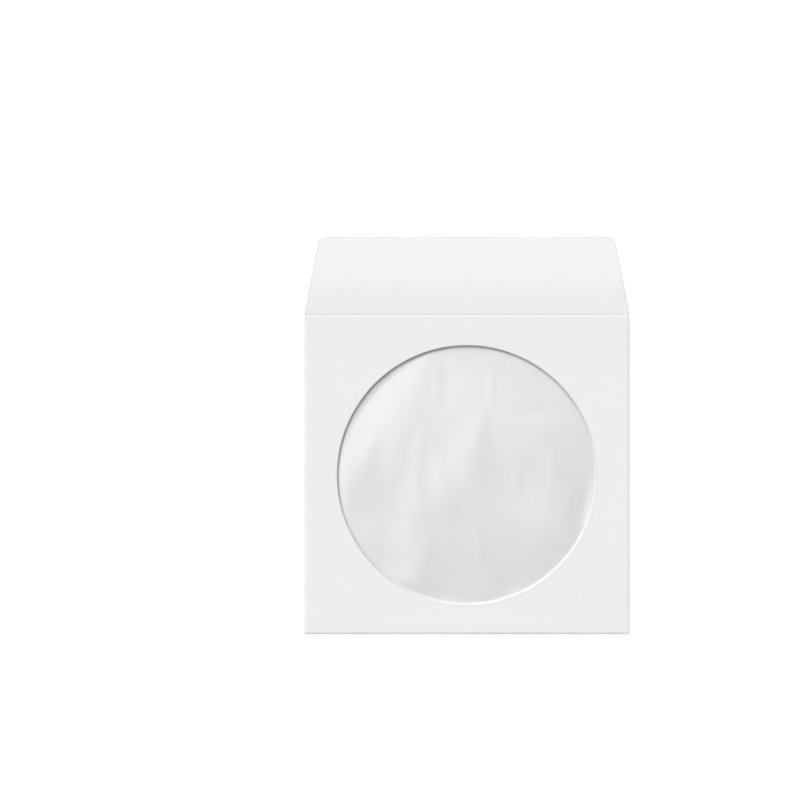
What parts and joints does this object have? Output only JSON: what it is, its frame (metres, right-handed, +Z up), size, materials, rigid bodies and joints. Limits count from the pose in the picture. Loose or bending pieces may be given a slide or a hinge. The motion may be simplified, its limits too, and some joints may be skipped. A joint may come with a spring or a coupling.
{
  "type": "cd sleeve",
  "caption": "Folded white paper sleeve for one disc, with a round clear film window in the front and an open tapered flap above the crease.",
  "frame": {"origin": "on the outer face of the back panel, on the axis of the disc that the sleeve holds, which is also the middle of the window", "axes": "the sleeve lies on its back panel: +Z up through the window, +Y from the bottom fold towards the open flap, +X across it, to the right as the window is seen"},
  "size_m": [0.125, 0.1527, 0.002],
  "materials": {
    "paper": "matte uncoated white writing paper with a faint tooth",
    "film": "clear glossy plastic film, very slightly rippled"
  },
  "bodies": {
    "root": {"paper_envelope": "paper", "window_film": "film"}
  },
  "joints": []
}
